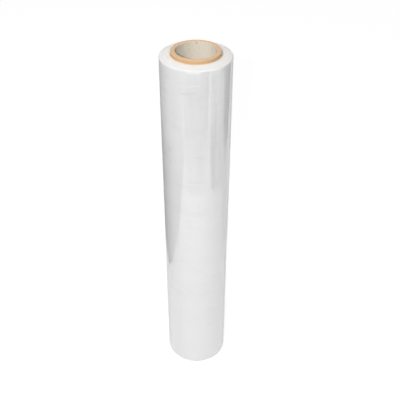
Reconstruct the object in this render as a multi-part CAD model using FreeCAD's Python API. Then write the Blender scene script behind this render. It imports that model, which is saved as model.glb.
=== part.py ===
"""A hand roll of clear stretch wrap: film wound on a spiral-wound paper core.

The roll stands on its end. The core is a little longer than the film is wide, so it stands
out at both ends, and the roll rests on the core's lower rim. All the turns of film are one
solid, and the paper tube is another. Sizes are in millimetres and degrees. The origin is on
the roll's axis, in the plane that it stands on, and +Z runs up the axis.
"""

import FreeCAD, Part
import math
import os

# Paper core: the tube's bore, its wall, how far it stands out of the film, and its eased rims.
CORE_BORE = 50.0
CORE_WALL = 5.5
CORE_STAND_OUT = 4.5
CORE_RIM_EASE = 0.4

# The seam of the core's inner ply: the narrow gap between the edges of one helical strip,
# and the angle about the axis at which it meets the top rim.
PLY_THICKNESS = 0.45
SEAM_GAP = 0.8
SEAM_ANGLE_TO_AXIS = 51.0
SEAM_TOP_ANGLE = 304.0

# Wound film: the width of the web, and the thickness of all its turns together.
FILM_WIDTH = 500.0
FILM_BUILD = 14.0

# The film's two ends: bands of turns that stagger a little. The outer turns have slipped down,
# and the edges of the outermost ones are turned in.
TURN_BANDS = 14
TURN_STAGGER = 0.12
STAGGER_PHASE = 137.5
BANDS_FALL = 1.6
SOFT_EDGE_INSET = 2.2
SOFT_EDGE_DROP = 1.8

# The free end of the web, which clings to the turn below and lifts a little at its edge.
TAIL_LIFT = 0.3
TAIL_LIFT_ARC = 40.0
TAIL_ANGLE = 112.0

UP = FreeCAD.Vector(0, 0, 1)
AXIS_FOOT = FreeCAD.Vector(0, 0, 0)

core_inner_radius = CORE_BORE / 2
core_outer_radius = core_inner_radius + CORE_WALL
core_length = FILM_WIDTH + 2 * CORE_STAND_OUT
film_outer_radius = core_outer_radius + FILM_BUILD
film_top = CORE_STAND_OUT + FILM_WIDTH


def at(radius, z, degrees=0.0):
    """The point at a radius, a height and an angle about the roll's axis."""
    angle = math.radians(degrees)
    return FreeCAD.Vector(radius * math.cos(angle), radius * math.sin(angle), z)


def revolved(edges):
    """The solid that a closed outline of edges in the XZ plane sweeps about the roll's axis."""
    outline = Part.Wire(Part.__sortEdges__(edges))
    return Part.Face(outline).revolve(AXIS_FOOT, UP, 360)


def tube_blank():
    """The paper tube with its cut rims eased inside and outside, before its seam is cut."""
    inner, outer, ease = core_inner_radius, core_outer_radius, CORE_RIM_EASE
    outline = [
        at(inner, ease),
        at(inner + ease, 0),
        at(outer - ease, 0),
        at(outer, ease),
        at(outer, core_length - ease),
        at(outer - ease, core_length),
        at(inner + ease, core_length),
        at(inner, core_length - ease),
    ]
    return revolved(Part.makePolygon(outline + outline[:1]).Edges)


def ply_seam():
    """The helical gap in the inner ply, as a solid that runs past both rims."""
    slant = math.radians(SEAM_ANGLE_TO_AXIS)
    lead = math.pi * CORE_BORE / math.tan(slant)
    gap_along_axis = SEAM_GAP / math.sin(slant)
    overrun = gap_along_axis
    path = Part.makeHelix(lead, core_length + 2 * overrun, core_inner_radius)
    near, far = core_inner_radius - PLY_THICKNESS, core_inner_radius + PLY_THICKNESS
    low, high = -gap_along_axis / 2, gap_along_axis / 2
    corners = [at(near, low), at(far, low), at(far, high), at(near, high)]
    section = Part.makePolygon(corners + corners[:1])
    seam = Part.Wire(path.Edges).makePipeShell([section], True, True)
    turn_to_top = 360 * (core_length + overrun) / lead
    seam.rotate(AXIS_FOOT, UP, SEAM_TOP_ANGLE - turn_to_top)
    seam.translate(UP * -overrun)
    return seam


def paper_core():
    """The spiral-wound paper tube that the film is wound on."""
    return tube_blank().cut(ply_seam())


def lift_arc_radius():
    """The radius of the arc that leaves the roll tangentially and ends TAIL_LIFT outside it."""
    base, end = film_outer_radius, film_outer_radius + TAIL_LIFT
    reach = end * math.cos(math.radians(TAIL_LIFT_ARC))
    return (end**2 - 2 * base * reach + base**2) / (2 * (base - reach))


def web_section():
    """The roll's section across its axis: round, with the free end's edge standing proud."""
    lift_angle = TAIL_ANGLE - TAIL_LIFT_ARC
    lift_start = at(film_outer_radius, 0, lift_angle)
    lift_centre = at(film_outer_radius - lift_arc_radius(), 0, lift_angle)
    tail_edge = at(film_outer_radius + TAIL_LIFT, 0, TAIL_ANGLE)
    tail_seat = at(film_outer_radius, 0, TAIL_ANGLE)
    opposite = at(film_outer_radius, 0, TAIL_ANGLE + (360 - TAIL_LIFT_ARC) / 2)
    outward = ((lift_start + tail_edge) * 0.5 - lift_centre).normalize()
    lifted = Part.Arc(lift_start, lift_centre + outward * lift_arc_radius(), tail_edge)
    edge = Part.LineSegment(tail_edge, tail_seat)
    clinging = Part.Arc(tail_seat, opposite, lift_start)
    return Part.Face(Part.Wire([curve.toShape() for curve in (lifted, edge, clinging)]))


def end_edges(level, edge_rise):
    """The outline of one end of the film: bands of turns with small steps, then the soft edge.

    The level is that of the innermost turn's edge, and the soft edge ends edge_rise above the
    outermost band.
    """
    bands_outer = film_outer_radius - SOFT_EDGE_INSET
    band_width = (bands_outer - core_outer_radius) / TURN_BANDS
    corners = []
    for band in range(TURN_BANDS):
        slip = BANDS_FALL * (band / TURN_BANDS) ** 2
        stagger = TURN_STAGGER * (1 - math.cos(math.radians(STAGGER_PHASE * band)))
        height = level - slip - stagger
        start = core_outer_radius + band * band_width
        corners += [at(start, height), at(start + band_width, height)]
    clear_radius = film_outer_radius + 2 * TAIL_LIFT
    edge_start = corners[-1]
    edge_end = at(clear_radius, edge_start.z + edge_rise)
    halfway_round = math.sqrt(0.5)
    shoulder = at(
        edge_start.x + (clear_radius - edge_start.x) * halfway_round,
        edge_end.z - edge_rise * halfway_round,
    )
    soft_edge = Part.Arc(edge_start, shoulder, edge_end)
    return Part.makePolygon(corners).Edges + [soft_edge.toShape()]


def end_envelope():
    """The hollow solid that shapes the film's ends. Each turn keeps the web's full width."""
    top = Part.Wire(end_edges(film_top, -SOFT_EDGE_DROP))
    bottom = Part.Wire(end_edges(CORE_STAND_OUT, SOFT_EDGE_DROP))
    sides = [
        Part.makeLine(top.OrderedVertexes[end].Point, bottom.OrderedVertexes[end].Point)
        for end in (0, -1)
    ]
    return revolved(top.Edges + bottom.Edges + sides)


def film_roll():
    """All the turns of film as one hollow solid, wound tight on the core."""
    overrun = BANDS_FALL + 2 * TURN_STAGGER
    web = web_section().extrude(UP * (core_length + 2 * overrun))
    web.translate(UP * -overrun)
    return web.common(end_envelope())


def main():
    """Writes one STEP file for each of the roll's two pieces."""
    os.makedirs("parts", exist_ok=True)
    for name, build in {"paper_core": paper_core, "film_roll": film_roll}.items():
        shape = build()
        if len(shape.Solids) != 1 or not shape.isValid():
            raise ValueError(f"{name} isn't one valid solid")
        solid = shape.Solids[0]
        solid.exportStep(f"parts/{name}.step")
        print(f"{name}: {solid.Volume / 1000:.1f} cm3 in {len(solid.Faces)} faces")


main()
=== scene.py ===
"""A hand roll of clear stretch wrap: its surfaces, finishes, studio and camera.

The roll stands on its end on a pale floor. Two pieces are dressed here: the spiral-wound paper
core, with its plies, its cut rims and the seam of its inner ply, and the wound film, with the
edges of its turns, its soft outer edges, its creases and the free end of the web at the back.
Lengths are in metres unless a name says otherwise, angles in degrees, and +Z is up the axis.
"""

import logging
import math
from collections.abc import Callable, Iterable, Mapping
from dataclasses import dataclass, field
from enum import Enum
from typing import Any

import bpy
from mathutils import Euler, Matrix, Vector, noise


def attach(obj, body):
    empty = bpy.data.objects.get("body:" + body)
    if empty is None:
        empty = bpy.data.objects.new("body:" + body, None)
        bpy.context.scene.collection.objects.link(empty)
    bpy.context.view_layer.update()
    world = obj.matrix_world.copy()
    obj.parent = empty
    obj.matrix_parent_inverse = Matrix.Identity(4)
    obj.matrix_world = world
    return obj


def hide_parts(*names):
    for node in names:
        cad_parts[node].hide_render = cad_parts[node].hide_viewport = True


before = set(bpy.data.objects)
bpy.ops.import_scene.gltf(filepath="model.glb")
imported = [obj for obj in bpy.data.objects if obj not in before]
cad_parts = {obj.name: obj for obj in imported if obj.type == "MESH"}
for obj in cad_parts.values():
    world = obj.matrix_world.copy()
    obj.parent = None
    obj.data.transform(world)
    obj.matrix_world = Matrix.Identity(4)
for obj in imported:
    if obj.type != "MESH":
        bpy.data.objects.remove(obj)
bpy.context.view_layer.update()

log = logging.getLogger("stretch_wrap_roll")

MM = 0.001
SAME_POINT = 0.01 * MM
SMOOTH_BELOW = math.radians(38)
BODY = "root"

Colour = tuple[float, float, float]
Point = tuple[float, float]

BLACK: Colour = (0.0, 0.0, 0.0)
WHITE: Colour = (1.0, 1.0, 1.0)


class View(Enum):
    """The rays that may tell a backdrop's white from the light that it gives."""

    CAMERA = "Is Camera Ray"
    GLOSSY = "Is Glossy Ray"
    TRANSMISSION = "Is Transmission Ray"


def paint(red: int, green: int, blue: int) -> Colour:
    """Turns a colour as it is seen on a screen into the linear one that a shader takes.

    Args:
        red: The red part, from 0 to 255.
        green: The green part, from 0 to 255.
        blue: The blue part, from 0 to 255.

    Returns:
        The linear colour, each part from 0 to 1.
    """
    parts = [part / 255 for part in (red, green, blue)]
    linear = [p / 12.92 if p <= 0.04045 else ((p + 0.055) / 1.055) ** 2.4 for p in parts]
    return linear[0], linear[1], linear[2]


def eased(value: float, low: float, high: float) -> float:
    """Rises smoothly from 0 to 1 as a value goes from one limit to the other.

    Args:
        value: The value.
        low: The limit at which the result is 0.
        high: The limit at which the result is 1.

    Returns:
        A number from 0 to 1.
    """
    share = min(max((value - low) / (high - low), 0.0), 1.0)
    return share * share * (3 - 2 * share)


def turn_between(start: float, end: float) -> float:
    """The turn from one angle to another, in degrees from -180 to 180."""
    return (end - start + 180) % 360 - 180


# Shader graphs


class Value:
    """An output socket that takes part in ordinary arithmetic."""

    def __init__(self, graph: "Graph", socket: bpy.types.NodeSocket) -> None:
        """Wraps a socket.

        Args:
            graph: The graph that the socket is in.
            socket: The output socket.
        """
        self.graph = graph
        self.socket = socket

    def _with(self, operation: str, first: Any, second: Any) -> "Value":
        """Adds a Math node.

        Args:
            operation: The Math node's operation.
            first: The first number or value.
            second: The second number or value.

        Returns:
            The node's result.
        """
        settings = {"operation": operation}
        return self.graph.add("ShaderNodeMath", settings, {0: first, 1: second})

    def __add__(self, other: Any) -> "Value":
        """self + other."""
        return self._with("ADD", self, other)

    def __radd__(self, other: Any) -> "Value":
        """other + self."""
        return self._with("ADD", other, self)

    def __sub__(self, other: Any) -> "Value":
        """self - other."""
        return self._with("SUBTRACT", self, other)

    def __rsub__(self, other: Any) -> "Value":
        """other - self."""
        return self._with("SUBTRACT", other, self)

    def __mul__(self, other: Any) -> "Value":
        """self * other."""
        return self._with("MULTIPLY", self, other)

    def __rmul__(self, other: Any) -> "Value":
        """other * self."""
        return self._with("MULTIPLY", other, self)

    def __abs__(self) -> "Value":
        """The size of self, whatever its sign."""
        return self.graph.add("ShaderNodeMath", {"operation": "ABSOLUTE"}, {0: self})

    def at_least(self, other: Any) -> "Value":
        """The larger of self and other."""
        return self._with("MAXIMUM", self, other)

    def rising(self, low: float, high: float) -> "Value":
        """A mask that rises smoothly from 0 at low to 1 at high.

        Args:
            low: Where the mask is 0.
            high: Where the mask is 1. It may be less than low, and the mask then falls.

        Returns:
            The mask.
        """
        if low > high:
            return 1 - self.rising(high, low)
        limits = {"Value": self, "From Min": low, "From Max": high}
        return self.graph.add("ShaderNodeMapRange", {"interpolation_type": "SMOOTHSTEP"}, limits)


class Graph:
    """The node graph of one material or of the world, built by expressions."""

    def __init__(self, tree: bpy.types.NodeTree) -> None:
        """Empties a node tree to build in.

        Args:
            tree: The node tree.
        """
        self.tree = tree
        self.tree.nodes.clear()

    def add(
        self,
        kind: str,
        settings: Mapping[str, Any] | None = None,
        inputs: Mapping[str | int, Any] | None = None,
        output: str | int = 0,
    ) -> Value:
        """Adds a node.

        Args:
            kind: The node's type.
            settings: The node's own properties, which are set first.
            inputs: A number, a colour or a Value for each socket, by name, identifier or place.
            output: The output to hand back, by name, identifier or place.

        Returns:
            The chosen output, or the first input's wrapper where the node has no output.
        """
        node = self.tree.nodes.new(kind)
        for name, setting in (settings or {}).items():
            setattr(node, name, setting)
        for key, given in (inputs or {}).items():
            socket = self._socket(node.inputs, key)
            if isinstance(given, Value):
                self.tree.links.new(given.socket, socket)
            elif socket.type == "RGBA" and len(given) == 3:
                socket.default_value = (*given, 1.0)
            else:
                socket.default_value = given
        return Value(self, self._socket(node.outputs or node.inputs, output))

    @staticmethod
    def _socket(sockets: Iterable[bpy.types.NodeSocket], key: str | int) -> bpy.types.NodeSocket:
        """Finds a socket that is in use.

        Args:
            sockets: The node's inputs or outputs.
            key: The socket's place, identifier or name.

        Returns:
            The socket.
        """
        if isinstance(key, int):
            return sockets[key]
        shown = [socket for socket in sockets if socket.enabled]
        return next(socket for socket in shown if key in (socket.identifier, socket.name))

    def mix(self, first: Any, second: Any, share: Any) -> Value:
        """Mixes two colours.

        Args:
            first: The colour where the share is 0.
            second: The colour where the share is 1.
            share: The mask.

        Returns:
            The mixed colour.
        """
        parts = {"Factor_Float": share, "A_Color": first, "B_Color": second}
        return self.add("ShaderNodeMix", {"data_type": "RGBA"}, parts, "Result_Color")

    def position(self) -> Value:
        """The point in the piece's own coordinates, which are the roll's."""
        return self.add("ShaderNodeTexCoord", output="Object")

    def parts(self, vector: Value) -> tuple[Value, Value, Value]:
        """Splits a vector into its X, Y and Z."""
        split = self.add("ShaderNodeSeparateXYZ", inputs={"Vector": vector})
        return tuple(Value(self, socket) for socket in split.socket.node.outputs)

    def stretched(self, vector: Value, scale: tuple[float, float, float]) -> Value:
        """Scales a vector along each axis, so that a pattern on it is drawn out."""
        return self.add("ShaderNodeMapping", inputs={"Vector": vector, "Scale": scale})

    def distance_from_axis(self, vector: Value) -> Value:
        """The distance of a point from the roll's axis."""
        flat = self.stretched(vector, (1, 1, 0))
        return self.add("ShaderNodeVectorMath", {"operation": "LENGTH"}, {0: flat}, "Value")

    def cloud(self, vector: Value, scale: float, detail: float = 2, rough: float = 0.5) -> Value:
        """A soft pattern in space, about 0.5 on average.

        Args:
            vector: Where the pattern is read.
            scale: How many features it has in a metre.
            detail: How many finer layers it has.
            rough: How strong the finer layers are.

        Returns:
            The pattern.
        """
        sockets = {"Vector": vector, "Scale": scale, "Detail": detail, "Roughness": rough}
        return self.add("ShaderNodeTexNoise", inputs=sockets, output="Fac")

    def bands(self, along: Value, scale: float, detail: float = 2, rough: float = 0.5) -> Value:
        """A pattern of bands along one length, about 0.5 on average.

        Args:
            along: The length along which the bands lie.
            scale: How many bands there are in a metre.
            detail: How many finer layers they have.
            rough: How strong the finer layers are.

        Returns:
            The pattern.
        """
        sockets = {"W": along, "Scale": scale, "Detail": detail, "Roughness": rough}
        return self.add("ShaderNodeTexNoise", {"noise_dimensions": "1D"}, sockets, "Fac")

    def bumped(self, height: Value, depth: float) -> Value:
        """The surface's normal with a fine relief.

        Args:
            height: The relief, from 0 to 1.
            depth: How deep the relief is at 1.

        Returns:
            The normal.
        """
        return self.add("ShaderNodeBump", inputs={"Distance": depth, "Height": height})

    def surface(self, sockets: Mapping[str, Any]) -> None:
        """Ends a material's graph in a Principled surface.

        Args:
            sockets: The surface's sockets.
        """
        shader = self.add("ShaderNodeBsdfPrincipled", inputs=sockets)
        self.add("ShaderNodeOutputMaterial", inputs={"Surface": shader})

    def seen_by(self, rays: Iterable[View]) -> Value:
        """A mask that is 1 for the rays named and 0 for others.

        Args:
            rays: The rays.

        Returns:
            The mask.
        """
        path = self.add("ShaderNodeLightPath").socket.node
        masks = [Value(self, path.outputs[ray.value]) for ray in rays]
        seen = masks[0]
        for mask in masks[1:]:
            seen = seen.at_least(mask)
        return seen


def new_material(name: str) -> tuple[bpy.types.Material, Graph]:
    """Makes a material with an empty graph.

    Args:
        name: The material's name.

    Returns:
        The material and its graph.
    """
    material = bpy.data.materials.new(name)
    material.use_nodes = True
    return material, Graph(material.node_tree)


# Finishes


@dataclass(frozen=True)
class KraftFinish:
    """Spiral-wound paperboard: kraft plies outside, and a greyer liner of recycled paper inside.

    Attributes:
        outer: Colour of the outermost ply.
        outer_warm: Colour of the outermost ply where it is redder.
        rim: Colour of the sawn edges of the plies.
        rim_line: Colour of the glue lines between plies.
        worn: Colour of the rims' corners: scuffed paper, with a painted highlight along the eased
            edges.
        liner: Colour of the innermost ply.
        fleck: Colour of the coarse fibres in the liner.
        dark_spot: Place of a small dark spot in the liner, under the rim.
        dark_spot_size: Radius of the dark spot.
        bore_radius: Radius of the bore.
        ply: Thickness of a ply.
    """

    outer: Colour = paint(209, 173, 127)
    outer_warm: Colour = paint(209, 152, 108)
    rim: Colour = paint(230, 199, 165)
    rim_line: Colour = paint(192, 144, 104)
    worn: Colour = paint(238, 214, 184)
    liner: Colour = paint(236, 228, 214)
    fleck: Colour = paint(168, 152, 122)
    dark_spot: tuple[float, float, float] = (0.8 * MM, 25.0 * MM, 506.9 * MM)
    dark_spot_size: float = 1.3 * MM
    bore_radius: float = 25.0 * MM
    ply: float = 0.458 * MM

    def make(self) -> bpy.types.Material:
        """Builds the finish.

        Returns:
            The material.
        """
        material, graph = new_material("kraft_core")
        place = graph.position()
        radius = graph.distance_from_axis(place)
        normal_up = abs(graph.parts(graph.add("ShaderNodeNewGeometry", output="Normal"))[2])
        on_rim = normal_up.rising(0.35, 0.8)
        worn_and_lit_corner = normal_up.rising(0.3, 0.55) * normal_up.rising(0.93, 0.8)
        into_wall = radius - self.bore_radius
        in_bore = into_wall.rising(0.9 * self.ply, 0.6 * self.ply)

        fibres = graph.cloud(graph.stretched(place, (1, 1, 0.35)), 1400, 3, 0.65)
        mottle = graph.cloud(place, 90, 3)
        flecks = graph.cloud(graph.stretched(place, (1, 1, 0.5)), 700, 1).rising(0.66, 0.74)
        plies = graph.bands(radius + 0.00012 * graph.cloud(place, 60), 1 / self.ply, 1)

        warmth = graph.cloud(place, 22, 1).rising(0.4, 0.62)
        kraft = graph.mix(self.outer, self.outer_warm, 0.8 * warmth)
        kraft = graph.mix(kraft, self.rim, 0.5 * (0.25 * mottle + 0.5 * fibres).rising(0.2, 0.75))
        kraft = graph.mix(kraft, self.rim_line, 0.3 * flecks)
        liner = graph.mix(self.liner, self.fleck, 0.35 * flecks + 0.22 * fibres.rising(0.5, 0.8))
        # A small dark spot is painted into the liner under the rim.
        apart = {0: place, 1: self.dark_spot}
        from_dark_spot = graph.add("ShaderNodeVectorMath", {"operation": "DISTANCE"}, apart, "Value")
        in_dark_spot = from_dark_spot.rising(self.dark_spot_size, 0.4 * self.dark_spot_size)
        liner = graph.mix(liner, self.fleck, 0.8 * in_dark_spot)
        sawn = graph.mix(self.rim, self.rim_line, plies.rising(0.5, 0.72) * 0.55)
        sawn = graph.mix(sawn, self.rim_line, 0.3 * fibres.rising(0.45, 0.8))
        colour = graph.mix(kraft, liner, in_bore)
        colour = graph.mix(colour, sawn, on_rim)
        # The rims' eased corners are lightened: partly scuffed paper, partly a painted highlight.
        colour = graph.mix(colour, self.worn, 0.5 * worn_and_lit_corner)

        relief = 0.6 * fibres + 0.3 * mottle + 0.5 * on_rim * plies
        graph.surface(
            {
                "Base Color": colour,
                "Roughness": 0.95 - 0.16 * mottle,
                "Specular IOR Level": 0.25,
                "Normal": graph.bumped(relief, 0.12 * MM),
            }
        )
        return material


@dataclass(frozen=True)
class FilmFinish:
    """Many turns of clear film: milky in depth, glossy on the side, matt where their edges show.

    Attributes:
        body: Colour of the wound film.
        pressed_and_edge_shade: Colour where a turn clings to the one below, and less air lies
            between them; also the painted shade on the soft outer edges.
        edges: Colour of the turns' cut edges.
        edge_line: Colour of the fine lines between groups of turns.
        painted_core_light: Painted light, the kraft colour that light from the paper core lends to
            the turns beside it.
        crease_shade: Painted shade in the creases of the outermost turn and along the web's free
            end.
        pleat_highlight: Painted highlight where a pleat stands up and turns to the light.
        fold_shading_name: The film's own value for the two, above 0 where shade is painted and
            below 0 where a highlight is painted.
        core_radius: Outer radius of the core.
        core_light_width: How far the painted core light reaches.
        depth: How far light wanders in the wound film.
    """

    body: Colour = paint(233, 233, 233)
    pressed_and_edge_shade: Colour = paint(221, 222, 222)
    edges: Colour = paint(247, 245, 243)
    edge_line: Colour = paint(236, 234, 231)
    painted_core_light: Colour = paint(240, 208, 164)
    crease_shade: Colour = paint(196, 198, 201)
    pleat_highlight: Colour = paint(255, 255, 255)
    fold_shading_name: str = "fold_shading"
    core_radius: float = 30.5 * MM
    core_light_width: float = 3.2 * MM
    depth: float = 6.0 * MM

    def make(self) -> bpy.types.Material:
        """Builds the finish.

        Returns:
            The material.
        """
        material, graph = new_material("stretch_film")
        place = graph.position()
        height = graph.parts(place)[2]
        radius = graph.distance_from_axis(place)
        normal_up = abs(graph.parts(graph.add("ShaderNodeNewGeometry", output="Normal"))[2])
        on_end = normal_up.rising(0.15, 0.45)
        soft_edge_shade = normal_up.rising(0.985, 0.9)

        wander = graph.cloud(place, 25, 1)
        gauge = graph.bands(height + 0.002 * wander, 45, 3, 0.55)
        threads = graph.bands(height + 0.0006 * wander, 900, 2, 0.6)
        cling = graph.cloud(graph.stretched(place, (1, 1, 1.9)), 34, 4, 0.6)
        clung = cling.rising(0.56, 0.62)
        haze = graph.cloud(graph.stretched(place, (1, 1, 2.5)), 9, 3)

        rings = graph.bands(radius + 0.0004 * wander, 1500, 3, 0.7)
        ring_groups = graph.bands(radius + 0.0006 * wander, 380, 1)
        near_core = radius.rising(self.core_radius + self.core_light_width, self.core_radius)

        fold_shading = graph.add("ShaderNodeAttribute", {"attribute_name": self.fold_shading_name}, output="Fac")
        side = graph.mix(self.body, self.pressed_and_edge_shade, 0.35 * gauge + 0.3 * haze + 0.18 * clung - 0.2)
        # Painted shade along the creases and the free end's edge, where the film's value is above
        # 0, and a painted highlight on a pleat, where it is below 0.
        side = graph.mix(side, self.crease_shade, fold_shading.at_least(0))
        side = graph.mix(side, self.pleat_highlight, (0 - fold_shading).at_least(0))
        groups = ring_groups.rising(0.45, 0.7)
        ends = graph.mix(self.edges, self.edge_line, 0.45 * rings + 0.3 * groups)
        # Painted shade: the soft outer edges are darkened towards the pressed colour.
        ends = graph.mix(ends, self.pressed_and_edge_shade, 0.7 * soft_edge_shade)
        # Painted light: beside the core the turns take on the kraft colour that light from the
        # paper would lend them.
        ends = graph.mix(ends, self.painted_core_light, 0.5 * near_core)
        colour = graph.mix(side, ends, on_end)

        side_relief = 0.25 * gauge + 0.12 * threads + 0.3 * cling + 0.06 * clung
        relief = side_relief * (1 - on_end) + on_end * (0.5 * rings + 0.4 * ring_groups)
        graph.surface(
            {
                "Base Color": colour,
                "Roughness": 0.34 + 0.1 * threads + 0.3 * on_end - 0.08 * clung,
                "Coat Weight": 1.0 - 0.95 * on_end,
                "Coat Roughness": 0.045,
                "Coat IOR": 1.85,
                "Subsurface Weight": 0.35,
                "Subsurface Radius": (1.0, 1.0, 1.0),
                "Subsurface Scale": self.depth,
                "Normal": graph.bumped(relief, 0.16 * MM),
            }
        )
        return material


@dataclass(frozen=True)
class BackdropFinish:
    """Plain pale paper that shows white and still takes the roll's shadow.

    Attributes:
        paper: Colour of the paper for the light that it gives back.
        shown: Colour of the paper to look at, which takes the shadow.
        white: The plain white that is seen on top of it.
    """

    paper: Colour = (0.8, 0.8, 0.8)
    shown: Colour = (0.2, 0.2, 0.2)
    white: Colour = (0.905, 0.905, 0.905)

    def make(self) -> bpy.types.Material:
        """Builds the finish.

        Returns:
            The material.
        """
        material, graph = new_material("backdrop_paper")
        seen = graph.seen_by(View)
        paper = graph.mix(self.paper, self.shown, seen)
        glow = graph.mix(BLACK, self.white, seen)
        lit = graph.add("ShaderNodeBsdfDiffuse", inputs={"Color": paper})
        white = graph.add("ShaderNodeEmission", inputs={"Color": glow, "Strength": 1.0})
        both = graph.add("ShaderNodeAddShader", inputs={0: lit, 1: white})
        graph.add("ShaderNodeOutputMaterial", inputs={"Surface": both})
        return material


# Modelling


@dataclass
class Spot:
    """A point of a round piece.

    Attributes:
        radius: Its distance from the axis.
        angle: Its angle about the axis, in degrees, from +X towards +Y.
        height: Its height.
    """

    radius: float
    angle: float
    height: float

    @classmethod
    def of(cls, place: Vector) -> "Spot":
        """The spot at a place in the piece's own coordinates."""
        x, y, z = place
        return cls(math.hypot(x, y), math.degrees(math.atan2(y, x)) % 360, z)


@dataclass(frozen=True)
class Run:
    """A stretch of a profile.

    Attributes:
        end: The radius and height at which it ends.
        cuts: How many points divide it.
    """

    end: Point
    cuts: int = 0


def clear_selection() -> None:
    """Deselects every object, so that an operator acts only on what is added next."""
    bpy.ops.object.select_all(action="DESELECT")


def faces_outwards(piece: bpy.types.Object) -> bool:
    """Tells whether the face that lies farthest from the axis faces away from it."""
    outermost = max(piece.data.polygons, key=lambda face: face.center.xy.length)
    return outermost.normal.xy.dot(outermost.center.xy) > 0


def spun(name: str, start: Point, runs: Iterable[Run], steps: int) -> bpy.types.Object:
    """Draws a profile beside the axis, point by point, and spins it about the axis.

    Args:
        name: The piece's name.
        start: The radius and height of the profile's first point.
        runs: The profile's stretches. Those of a solid end beside the first point.
        steps: How many faces go round the piece.

    Returns:
        The piece, with its origin on the axis.
    """
    clear_selection()
    bpy.ops.mesh.primitive_plane_add(size=MM, location=(start[0], 0, start[1]))
    piece = bpy.context.object
    piece.name = name
    piece.data.name = name
    bpy.ops.object.transform_apply(location=True)
    bpy.ops.object.mode_set(mode="EDIT")
    bpy.ops.mesh.select_all(action="SELECT")
    bpy.ops.mesh.merge(type="CENTER")
    here = start
    for run in runs:
        for cut in range(1, run.cuts + 2):
            share = cut / (run.cuts + 1)
            there = [a + (b - a) * share for a, b in zip(here, run.end)]
            before = [a + (b - a) * (cut - 1) / (run.cuts + 1) for a, b in zip(here, run.end)]
            step = (there[0] - before[0], 0, there[1] - before[1])
            bpy.ops.mesh.extrude_region_move(TRANSFORM_OT_translate={"value": step})
        here = run.end
    bpy.ops.mesh.select_all(action="SELECT")
    bpy.ops.mesh.remove_doubles(threshold=SAME_POINT)
    bpy.ops.mesh.select_all(action="SELECT")
    bpy.ops.mesh.spin(steps=steps, angle=math.tau, center=(0, 0, 0), axis=(0, 0, 1))
    bpy.ops.mesh.select_all(action="SELECT")
    bpy.ops.mesh.remove_doubles(threshold=SAME_POINT)
    bpy.ops.mesh.normals_make_consistent(inside=False)
    bpy.ops.object.mode_set(mode="OBJECT")
    if not faces_outwards(piece):
        bpy.ops.object.mode_set(mode="EDIT")
        bpy.ops.mesh.select_all(action="SELECT")
        bpy.ops.mesh.flip_normals()
        bpy.ops.object.mode_set(mode="OBJECT")
    return piece


def reshape(piece: bpy.types.Object, move: Callable[[Spot], Spot]) -> None:
    """Moves every point of a round piece, as with a sculpting tool.

    Args:
        piece: The piece.
        move: Gives a point's new place for its old one.
    """
    for point in piece.data.vertices:
        spot = move(Spot.of(point.co))
        angle = math.radians(spot.angle)
        point.co = (spot.radius * math.cos(angle), spot.radius * math.sin(angle), spot.height)
    piece.data.update()


def finished(piece: bpy.types.Object, material: bpy.types.Material, node: str) -> None:
    """Shades a piece, dresses it, and puts it in the place of its plain solid.

    Args:
        piece: The piece.
        material: Its finish.
        node: The solid that it stands for.
    """
    clear_selection()
    piece.select_set(True)
    bpy.context.view_layer.objects.active = piece
    bpy.ops.object.shade_smooth_by_angle(angle=SMOOTH_BELOW)
    piece.data.materials.clear()
    piece.data.materials.append(material)
    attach(piece, BODY)
    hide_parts(node)
    log.info("%s has %d faces", piece.name, len(piece.data.polygons))


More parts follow.
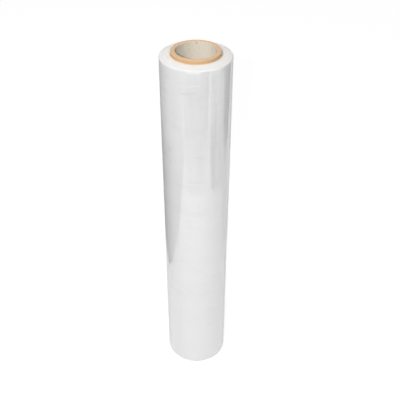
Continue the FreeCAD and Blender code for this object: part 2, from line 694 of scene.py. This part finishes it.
@dataclass
class PaperCore:
    """The spiral-wound paper tube, with its sawn rims and the open seam of its inner ply.

    Attributes:
        bore_radius: Radius of the bore.
        wall: Thickness of the wall.
        length: Length of the tube.
        rim_ease: How far the rims' corners are eased.
        plies: How many plies the wall has.
        ply_step: How far the plies' sawn edges differ in height.
        seam_width: Width of the gap at the inner ply's seam.
        seam_slant: Angle of the seam to the axis.
        seam_top_angle: Where the seam meets the top rim.
        steps: How many faces go round the tube.
        bore_rows: How many rows of faces go up the bore.
    """

    bore_radius: float = 25.0 * MM
    wall: float = 5.5 * MM
    length: float = 509.0 * MM
    rim_ease: float = 0.4 * MM
    plies: int = 12
    ply_step: float = 0.07 * MM
    seam_width: float = 0.8 * MM
    seam_slant: float = 51.0
    seam_top_angle: float = 304.0
    steps: int = 160
    bore_rows: int = 171
    finish: KraftFinish = field(default_factory=KraftFinish)

    @property
    def ply(self) -> float:
        """Thickness of one ply."""
        return self.wall / self.plies

    @property
    def outer_radius(self) -> float:
        """Radius of the tube's outside."""
        return self.bore_radius + self.wall

    def rim_runs(self, face: float, inwards: float) -> list[Run]:
        """The sawn edge of each ply, from the bore outwards, with a fine step between plies.

        Args:
            face: Height of the rim.
            inwards: 1 where the wall lies above the rim, and -1 where it lies below.

        Returns:
            The rim's stretches, from the bore's corner to the outside's corner.
        """
        runs = [Run((self.bore_radius + self.rim_ease, face))]
        for ply in range(2, self.plies - 1):
            radius = self.bore_radius + ply * self.ply
            lower = self.ply_step * (0.5 + 0.5 * math.sin(2.4 * ply)) * (ply % 2)
            upper = self.ply_step * (0.5 + 0.5 * math.sin(2.4 * ply + 2.4)) * ((ply + 1) % 2)
            runs.append(Run((radius, face + inwards * lower)))
            runs.append(Run((radius + 0.16 * self.ply, face + inwards * upper)))
        runs.append(Run((self.outer_radius - self.rim_ease, face)))
        runs.append(Run((self.outer_radius, face + inwards * self.rim_ease)))
        return runs

    def profile(self) -> list[Run]:
        """The tube's section: up the bore, over the top rim, down the outside and back.

        Returns:
            The stretches, from the foot of the bore round to it again.
        """
        ease, foot, top = self.rim_ease, 0.0, self.length
        runs = [Run((self.bore_radius, top - ease), self.bore_rows - 1)]
        runs += self.rim_runs(top, -1)
        stub = 8 * MM
        runs.append(Run((self.outer_radius, top - stub), 3))
        runs.append(Run((self.outer_radius, foot + stub), 5))
        runs.append(Run((self.outer_radius, foot + ease), 3))
        bottom = [run.end for run in self.rim_runs(foot, 1)]
        runs += [Run(end) for end in reversed(bottom[:-1])]
        runs.append(Run((self.bore_radius, foot + ease)))
        return runs

    def seam_turn(self, height: float) -> float:
        """How far the seam has turned about the axis at a height, from where it is at the top."""
        lead = math.tau * self.bore_radius / math.tan(math.radians(self.seam_slant))
        return 360 * (height - self.length) / lead

    def wound(self, spot: Spot) -> Spot:
        """Winds the columns of the bore along the seam, and opens the seam between two of them.

        Args:
            spot: A point of the straight tube.

        Returns:
            The point of the wound one.
        """
        column = round(spot.angle * self.steps / 360) % self.steps
        slant = math.radians(self.seam_slant)
        gap = math.degrees(self.seam_width / math.cos(slant) / self.bore_radius)
        lip = 0.12 * gap
        seam_columns = (0.0, lip, gap - lip, gap)
        if column < len(seam_columns):
            angle = seam_columns[column]
        else:
            angle = gap + (column - 3) * (360 - gap) / (self.steps - 3)
        if spot.radius < self.bore_radius + 0.5 * self.rim_ease:
            turned = self.seam_turn(spot.height)
        elif spot.height < self.length / 2:
            foot_turn = self.seam_turn(0)
            inward = eased(spot.radius, self.outer_radius, self.bore_radius + self.ply)
            turned = (foot_turn - round(foot_turn / 360) * 360) * inward
        else:
            turned = 0.0
        radius = spot.radius
        if column in (1, 2) and radius < self.bore_radius + 1.1 * self.ply:
            sunk = self.bore_radius + 0.98 * self.ply
            radius = sunk + 0.1 * (radius - self.bore_radius)
        return Spot(radius, angle + turned + self.seam_top_angle, spot.height)

    def roughened(self, spot: Spot) -> Spot:
        """Lets the sawn rims and the walls wander a little, as cut and glued paper does.

        Args:
            spot: A point of the tube.

        Returns:
            The moved point.
        """
        from_end = min(spot.height, self.length - spot.height)
        inwards = 1 if spot.height < self.length / 2 else -1
        angle = math.radians(spot.angle)
        x, y = math.cos(angle), math.sin(angle)
        place = Vector((x * 9, y * 9, spot.radius / MM * 1.7))
        worn = 0.045 * MM * (0.5 + 0.5 * noise.noise(place)) * eased(from_end, 2 * MM, 0)
        swell = 0.05 * MM * noise.noise(Vector((x, y, spot.height * 30)))
        inner = spot.radius < self.bore_radius + self.wall / 2
        radius = spot.radius + (abs(swell) if inner else -abs(swell))
        return Spot(radius, spot.angle, spot.height + inwards * worn)

    def build(self) -> bpy.types.Object:
        """Builds and dresses the core.

        Returns:
            The finished piece.
        """
        start = (self.bore_radius, self.rim_ease)
        tube = spun("paper_tube", start, self.profile(), self.steps)
        reshape(tube, self.wound)
        reshape(tube, self.roughened)
        finished(tube, self.finish.make(), "paper_core")
        return tube


@dataclass(frozen=True)
class Crease:
    """A short crease in the outermost turn.

    Attributes:
        height: Its height.
        angle: The angle about the axis of its middle.
        half_span: Half the angle that it spans.
        depth: How far it sinks in, or stands out if it is negative.
        half_width: Half its width.
        slope: How fast it climbs, in metres per degree.
        tone: How much painted shade darkens the film along it, or, where it is negative, how much a
            painted highlight brightens it.
    """

    height: float
    angle: float
    half_span: float
    depth: float
    half_width: float
    slope: float
    tone: float

    @classmethod
    def of(cls, height: float, angle: float, half_span: float, *rest: float) -> "Crease":
        """The crease with these numbers in the fields' order, its lengths in millimetres."""
        depth, half_width, slope, tone = rest
        return cls(height * MM, angle, half_span, depth * MM, half_width * MM, slope * MM, tone)

    def share_at(self, spot: Spot) -> float:
        """How much of the crease there is at a point.

        Args:
            spot: The point.

        Returns:
            1 in the middle of the crease, and 0 outside it.
        """
        turn = turn_between(self.angle, spot.angle)
        if abs(turn) > self.half_span:
            return 0.0
        off = (spot.height - self.height - self.slope * turn) / self.half_width
        if abs(off) > 3:
            return 0.0
        return eased(abs(turn), self.half_span, 0.4 * self.half_span) * math.exp(-off * off)


@dataclass
class FilmRoll:
    """All the turns of film, wound tight on the core.

    Attributes:
        core_radius: Radius of the core that the film is wound on.
        build_up: Thickness of all the turns together.
        width: Width of the web.
        stand_out: How far the core stands out of the film at each end.
        end_bands: How many bands of turns show on an end.
        end_stagger: How far the bands differ in height.
        end_fall: How far the outer turns have slipped down.
        edge_inset: How far in from the side the soft outer edge begins.
        edge_drop: How far the soft outer edge is turned in.
        tail_lift: How far the free end of the web stands off the turn below.
        tail_arc: The angle over which it lifts.
        tail_angle: Where the free end lies.
        tail_edge_shade: How much painted shade darkens the film along the free end's edge.
        tail_steepness: The angle over which the free end's edge drops.
        clearance: How far the uneven film keeps inside the plain roll on average.
        steps: How many faces go round the roll.
        fine_rows: Rows of faces in the upper stretch, where the creases are.
        plain_rows: Rows of faces below it.
        fine_from: Height at which the upper stretch begins.
        creases: The creases in the outermost turn.
    """

    core_radius: float = 30.5 * MM
    build_up: float = 14.0 * MM
    width: float = 500.0 * MM
    stand_out: float = 4.5 * MM
    end_bands: int = 22
    end_stagger: float = 0.11 * MM
    end_fall: float = 1.6 * MM
    edge_inset: float = 2.2 * MM
    edge_drop: float = 1.8 * MM
    tail_lift: float = 0.3 * MM
    tail_arc: float = 40.0
    tail_angle: float = 112.0
    tail_edge_shade: float = 0.4
    tail_steepness: float = 0.22
    clearance: float = 0.1 * MM
    steps: int = 200
    fine_rows: int = 190
    plain_rows: int = 100
    fine_from: float = 325.0 * MM
    creases: tuple[Crease, ...] = (
        # The last number of each crease is its painted shading: shade above 0, a painted highlight
        # below 0; the first is a painted highlight just below the top's soft edge.
        Crease.of(500.1, 265.5, 15.0, -0.02, 0.9, 0, -0.75),
        Crease.of(485.7, 246.0, 6.0, 0.10, 0.9, 0.07, 0.12),
        Crease.of(483.9, 266.0, 12.0, -0.02, 0.7, 0.02, -0.35),
        Crease.of(478.6, 247.0, 9.0, 0.12, 1.0, 0.07, 0.14),
        Crease.of(473.4, 257.0, 17.0, 0.20, 1.3, 0.073, 0.27),
        Crease.of(386.5, 271.0, 7.0, 0.10, 0.9, 0, 0.16),
        Crease.of(369.0, 259.0, 8.0, 0.08, 0.9, 0, 0.10),
        Crease.of(349.0, 270.0, 15.0, 0.14, 1.2, -0.06, 0.18),
        Crease.of(341.0, 258.0, 8.0, 0.08, 0.9, 0, 0.14),
        Crease.of(335.0, 260.0, 10.0, 0.08, 0.9, 0, 0.12),
        Crease.of(330.5, 268.0, 14.0, 0.10, 1.0, -0.1, 0.10),
        Crease.of(432.0, 323.0, 3.4, 0.14, 7.5, 0, 0.30),
        Crease.of(403.0, 303.0, 2.2, 0.10, 4.0, 0, 0.10),
        Crease.of(366.0, 306.0, 2.6, 0.10, 12.0, 0, 0.12),
        Crease.of(342.0, 306.5, 2.4, 0.10, 5.0, 0, 0.16),
        Crease.of(489.0, 222.0, 6.0, 0.12, 1.4, -0.3, 0.12),
        Crease.of(476.0, 218.0, 3.0, -0.02, 0.8, 0, -0.5),
        Crease.of(469.0, 211.0, 6.0, 0.16, 1.8, -0.25, 0.28),
        Crease.of(465.5, 198.0, 5.0, 0.14, 1.6, 0.2, 0.25),
        Crease.of(456.0, 212.0, 5.0, 0.12, 2.2, -0.2, 0.16),
        Crease.of(432.0, 211.0, 4.0, 0.12, 3.0, 0.1, 0.18),
        Crease.of(391.0, 223.0, 3.4, 0.12, 2.6, -0.4, 0.24),
        Crease.of(371.0, 222.0, 3.4, 0.12, 3.0, 0, 0.22),
        Crease.of(497.0, 316.0, 5.0, 0.16, 1.8, 0.3, 0.18),
        Crease.of(495.0, 326.0, 4.0, 0.16, 1.8, -0.3, 0.14),
        Crease.of(466.0, 96.0, 15.0, 0.16, 1.2, 0.05, 0.16),
        Crease.of(448.0, 88.0, 19.0, 0.16, 1.3, -0.03, 0.14),
        Crease.of(402.0, 40.0, 17.0, 0.14, 1.2, 0.02, 0.14),
        Crease.of(420.0, 176.0, 16.0, 0.16, 1.2, 0.02, 0.16),
    )
    finish: FilmFinish = field(default_factory=FilmFinish)

    @property
    def outer_radius(self) -> float:
        """Radius of the roll."""
        return self.core_radius + self.build_up

    @property
    def top(self) -> float:
        """Height of the film's top end."""
        return self.stand_out + self.width

    def end_outline(self, level: float, edge_rise: float) -> list[Point]:
        """One end of the film, from the core outwards to the foot of its soft edge.

        Args:
            level: Height of the innermost turn's edge.
            edge_rise: How far the soft edge ends above the outermost band of turns.

        Returns:
            The radius and height of each point.
        """
        bands_outer = self.outer_radius - self.edge_inset
        band = (bands_outer - self.core_radius) / self.end_bands
        points = []
        for index in range(self.end_bands):
            share = index / self.end_bands
            stagger = self.end_stagger * (0.5 - 0.5 * math.cos(math.radians(137.5 * index)))
            height = level - self.end_fall * share * share - stagger
            near = self.core_radius + index * band
            points.append((near + 0.2 * band, height))
            points.append((near + 0.8 * band, height - 0.02 * MM))
        last = level - self.end_fall
        for part in range(9):
            angle = math.radians(90 * part / 8)
            radius = bands_outer + self.edge_inset * math.sin(angle)
            points.append((radius, last + edge_rise * (1 - math.cos(angle))))
        return points

    def profile(self) -> list[Run]:
        """The film's section: up beside the core, over the top end, down the side and back.

        Returns:
            The stretches.
        """
        top = self.end_outline(self.top, -self.edge_drop)
        bottom = self.end_outline(self.stand_out, self.edge_drop)
        runs = [Run((self.core_radius, self.top), 3)]
        runs += [Run(point) for point in top]
        runs.append(Run((self.outer_radius, self.fine_from), self.fine_rows - 1))
        runs.append(Run(bottom[-1], self.plain_rows - 1))
        runs += [Run(point) for point in reversed(bottom[:-1])]
        runs.append(Run((self.core_radius, self.stand_out)))
        return runs

    def tail_rise(self, turn: float) -> float:
        """How far the outermost turn has lifted, by its turn from the web's free end.

        Args:
            turn: Degrees from the free end, negative on the side where the web lies.

        Returns:
            The lift.
        """
        if turn > 0.05 or turn < -self.tail_arc:
            return 0.0
        share = 1 + turn / self.tail_arc
        return self.tail_lift * share * share

    def beside_tail(self, turn: float, height: float) -> float:
        """How far a point turns to give the web's free end a steep and slightly wavy edge.

        Args:
            turn: Degrees from the free end.
            height: The point's height.

        Returns:
            The turn, in degrees.
        """
        step = 360 / self.steps
        back = 0.0
        if 0.5 * step < turn < 4 * step:
            back = (step - self.tail_steepness) * (1 - (turn - step) / (3 * step))
        wave = 0.5 * noise.noise(Vector((0, 7, height * 14)))
        wave += 0.2 * noise.noise(Vector((3, 0, height * 60)))
        return wave * eased(abs(turn), 14, 2) - back

    def side_shift(self, spot: Spot, ring: Vector, turn: float) -> float:
        """How far the side stands out, with its tension bands, ripples, creases and free end.

        Args:
            spot: A point of the plain roll.
            ring: The direction from the axis to it.
            turn: Degrees from the web's free end.

        Returns:
            The shift.
        """
        bands = noise.noise(Vector((0, 0, spot.height * 28))) * 0.06 * MM
        bands += noise.noise(Vector((5, 0, spot.height * 110))) * 0.02 * MM
        ripple = noise.noise(ring * 2.2 + Vector((0, 0, spot.height * 16))) * 0.09 * MM
        ripple += noise.noise(ring * 7 + Vector((0, 9, spot.height * 55))) * 0.02 * MM
        pucker = noise.noise(Vector((turn * 0.14, spot.height * 120, 3))) * 0.1 * MM
        pucker *= eased(turn, -16, -2) * (turn < 0.05)
        sunk = sum(crease.depth * crease.share_at(spot) for crease in self.creases)
        return bands + ripple + pucker + self.tail_rise(turn) - sunk - self.clearance

    def end_wave(self, spot: Spot, ring: Vector) -> float:
        """How far the edges of the turns stand out of an end, as they were wound unevenly.

        Args:
            spot: A point of the plain roll.
            ring: The direction from the axis to it.

        Returns:
            The shift.
        """
        wavy = noise.noise(ring * 1.6 + Vector((0, 0, spot.radius / MM * 0.5))) * 0.12 * MM
        wavy += noise.noise(ring * 5 + Vector((0, 0, spot.radius / MM * 2.5))) * 0.05 * MM
        off_core = eased(spot.radius, self.core_radius, self.core_radius + 0.6 * MM)
        from_middle = abs(spot.height - self.stand_out - self.width / 2)
        near_end = eased(from_middle, self.width / 2 - 4 * MM, self.width / 2 - 2.5 * MM)
        return (wavy - self.clearance) * off_core * near_end

    def relaxed(self, spot: Spot) -> Spot:
        """Gives the plain roll the unevenness of wound film.

        Args:
            spot: A point of the plain roll.

        Returns:
            The moved point.
        """
        side = eased(spot.radius, self.outer_radius - 1.2 * MM, self.outer_radius)
        turn = turn_between(self.tail_angle, spot.angle)
        around = math.radians(spot.angle)
        ring = Vector((math.cos(around), math.sin(around), 0))
        outwards = -1 if spot.height < self.top / 2 else 1
        return Spot(
            spot.radius + self.side_shift(spot, ring, turn) * side,
            spot.angle + self.beside_tail(turn, spot.height),
            spot.height + outwards * self.end_wave(spot, ring) * (1 - side),
        )

    def paint_fold_shading(self, roll: bpy.types.Object) -> None:
        """Notes at each point the painted shade of the creases and of the free end's edge, and the
        painted highlight of a pleat.

        Args:
            roll: The plain roll, before it is reshaped.
        """
        fold_shadings = roll.data.attributes.new(self.finish.fold_shading_name, "FLOAT", "POINT")
        for point, fold_shading in zip(roll.data.vertices, fold_shadings.data):
            spot = Spot.of(point.co)
            if spot.radius > self.outer_radius - 0.5 * MM:
                # Painted shade and painted highlight along the creases.
                fold_shading.value = sum(crease.tone * crease.share_at(spot) for crease in self.creases)
                if abs(turn_between(self.tail_angle, spot.angle)) < 180 / self.steps:
                    # Painted shade along the free end's edge.
                    fold_shading.value += self.tail_edge_shade

    def build(self) -> bpy.types.Object:
        """Builds and dresses the film.

        Returns:
            The finished piece.
        """
        start = (self.core_radius, self.stand_out)
        roll = spun("wound_film", start, self.profile(), self.steps)
        self.paint_fold_shading(roll)
        reshape(roll, self.relaxed)
        finished(roll, self.finish.make(), "film_roll")
        return roll


# Studio


@dataclass(frozen=True)
class Softbox:
    """A square studio lamp.

    Attributes:
        name: Its name.
        place: Where it stands.
        aim: The point that it faces.
        side: The length of its side.
        watts: Its power.
    """

    name: str
    place: tuple[float, float, float]
    aim: tuple[float, float, float]
    side: float
    watts: float

    def build(self) -> bpy.types.Object:
        """Hangs the lamp.

        Returns:
            The lamp.
        """
        clear_selection()
        bpy.ops.object.light_add(type="AREA", location=self.place)
        lamp = bpy.context.object
        lamp.name = self.name
        lamp.data.shape = "SQUARE"
        lamp.data.size = self.side
        lamp.data.energy = self.watts
        towards = Vector(self.aim) - Vector(self.place)
        lamp.rotation_euler = towards.to_track_quat("-Z", "Y").to_euler()
        return lamp


@dataclass(frozen=True)
class Card:
    """A grey card that lies on the floor and that only the roll's gloss sees.

    Attributes:
        name: Its name.
        corners: Its four corners on the floor, in order round the card.
        grey: How bright it is.
        lift: How far it lies above the floor.
    """

    name: str
    corners: tuple[Point, Point, Point, Point]
    grey: float
    lift: float = 2 * MM

    def build(self) -> bpy.types.Object:
        """Lays the card on the floor.

        Returns:
            The card.
        """
        clear_selection()
        bpy.ops.mesh.primitive_plane_add(size=1.0)
        card = bpy.context.object
        card.name = self.name
        first, second, third, fourth = self.corners
        for point, corner in zip(card.data.vertices, (first, second, fourth, third)):
            point.co = (*corner, self.lift)
        material, graph = new_material(self.name)
        shade = (self.grey, self.grey, self.grey)
        glow = graph.add("ShaderNodeEmission", inputs={"Color": shade})
        graph.add("ShaderNodeOutputMaterial", inputs={"Surface": glow})
        card.data.materials.append(material)
        card.visible_camera = False
        card.visible_diffuse = False
        card.visible_shadow = False
        card.visible_transmission = False
        return card


@dataclass
class Studio:
    """The floor, the lamps, the surroundings and the camera.

    Attributes:
        floor_side: Side of the floor.
        ambient: Strength of the surroundings as light.
        lamps: The softboxes.
        cards: The grey cards.
    """

    floor_side: float = 9.0
    ambient: float = 0.21
    lamps: tuple[Softbox, ...] = (
        Softbox("near_lamp", (-0.34, -2.98, 1.91), (0, 0, 0.3), 0.12, 57.0),
        Softbox("low_lamp", (1.3, -0.75, 0.3), (0, 0, 0.3), 0.5, 1.8),
        Softbox("left_lamp", (-0.8, -0.6, 2.2), (0, 0, 0.45), 0.8, 15.0),
        Softbox("top_lamp", (0.1, 0.2, 2.3), (0, 0, 0.3), 1.0, 4.8),
    )
    cards: tuple[Card, ...] = (
        Card("front_card", ((-0.37, -0.50), (0.41, -0.50), (0.50, -0.62), (-0.48, -0.62)), 0.52),
        Card("front_mid_card", ((-0.48, -0.62), (0.50, -0.62), (0.64, -0.78), (-0.62, -0.78)), 0.3),
        Card("front_far_card", ((-0.62, -0.78), (0.64, -0.78), (4.2, -4.0), (-4.2, -4.0)), 0.15),
        Card("left_card", ((-0.41, -0.56), (-0.275, 0.0), (-0.70, 0.05), (-0.50, -0.56)), 0.27),
        Card("left_far_card", ((-0.50, -0.56), (-0.70, 0.05), (-4.2, 0.05), (-4.2, -4.0)), 0.42),
        Card("left_back_card", ((-0.275, 0.0), (-0.155, 0.235), (-0.35, 0.9), (-0.70, 0.05)), 0.24),
        Card("left_end_card", ((-0.70, 0.05), (-0.35, 0.9), (-1.6, 4.2), (-4.2, 0.05)), 0.4),
        Card(
            "left_line", ((-0.272, -0.02), (-0.158, 0.20), (-0.172, 0.212), (-0.287, -0.015)), 0.02
        ),
        Card(
            "left_foot_card", ((-0.05, -0.012), (-0.225, 0.13), (-0.155, 0.22), (-0.01, 0.06)), 0.86
        ),
        Card(
            "right_card", ((0.385, -0.345), (0.456, -0.198), (0.775, -0.317), (0.535, -0.541)), 0.08
        ),
        Card(
            "right_side_card", ((0.456, -0.198), (0.50, 0.04), (0.84, 0.04), (0.775, -0.317)), 0.65
        ),
        Card("right_far_card", ((0.535, -0.541), (0.775, -0.317), (4.2, -1.6), (4.2, -3.8)), 0.65),
        Card("right_out_card", ((0.775, -0.317), (0.84, 0.04), (4.2, 0.04), (4.2, -1.6)), 0.85),
        Card("right_back_card", ((0.64, 0.08), (0.57, 0.42), (3.0, 3.4), (4.2, 0.1)), 0.25),
        Card("right_near_card", ((0.285, 0.05), (0.20, 0.24), (0.57, 0.42), (0.64, 0.08)), 0.85),
        Card("right_foot_card", ((0.05, -0.012), (0.235, 0.16), (0.20, 0.24), (0.01, 0.06)), 0.84),
        Card("back_card", ((-0.12, 0.26), (0.20, 0.24), (3.0, 4.2), (-1.6, 4.2)), 0.7),
    )

    def build(self) -> None:
        """Sets up the studio."""
        clear_selection()
        bpy.ops.mesh.primitive_plane_add(size=self.floor_side)
        floor = bpy.context.object
        floor.name = "floor"
        floor.data.materials.append(BackdropFinish().make())
        for lamp in self.lamps:
            lamp.build()
        for card in self.cards:
            card.build()
        self.surroundings()
        log.info("studio has %d lamps and %d cards", len(self.lamps), len(self.cards))

    def surroundings(self) -> None:
        """Makes the world white to look at and a softer grey as light."""
        world = bpy.data.worlds.new("surroundings")
        world.use_nodes = True
        bpy.context.scene.world = world
        graph = Graph(world.node_tree)
        strength = self.ambient + (1 - self.ambient) * graph.seen_by(View)
        white = graph.add("ShaderNodeBackground", inputs={"Color": WHITE, "Strength": strength})
        graph.add("ShaderNodeOutputWorld", inputs={"Surface": white})


@dataclass(frozen=True)
class Camera:
    """The photograph's view: from in front and above, looking down along the roll.

    Attributes:
        lens_mm: Focal length.
        sensor_mm: Width of the sensor.
        distance: Distance in front of the roll's axis.
        height: Height above the floor.
        pitch: How far it looks down.
        yaw: How far it looks to the right.
        roll: How far it leans.
    """

    lens_mm: float = 58.31
    sensor_mm: float = 36.0
    distance: float = 0.71528
    height: float = 0.82243
    pitch: float = 36.713
    yaw: float = 0.412
    roll: float = 0.145

    def build(self) -> bpy.types.Object:
        """Sets up the camera and makes it the scene's own.

        Returns:
            The camera.
        """
        clear_selection()
        bpy.ops.object.camera_add(location=(0, -self.distance, self.height))
        camera = bpy.context.object
        camera.name = "camera"
        camera.data.lens = self.lens_mm
        camera.data.sensor_width = self.sensor_mm
        camera.data.clip_end = 30
        aim = Euler((math.radians(90 - self.pitch), 0, math.radians(-self.yaw))).to_matrix()
        lean = Matrix.Rotation(math.radians(self.roll), 3, "Z")
        camera.rotation_euler = (aim @ lean).to_euler()
        bpy.context.scene.camera = camera
        return camera


def main() -> None:
    """Builds the roll and its studio, in order."""
    logging.basicConfig(level=logging.INFO, format="%(name)s: %(message)s")
    bpy.context.scene.view_settings.view_transform = "Standard"
    PaperCore().build()
    FilmRoll().build()
    Studio().build()
    Camera().build()


if __name__ == "__main__":
    main()
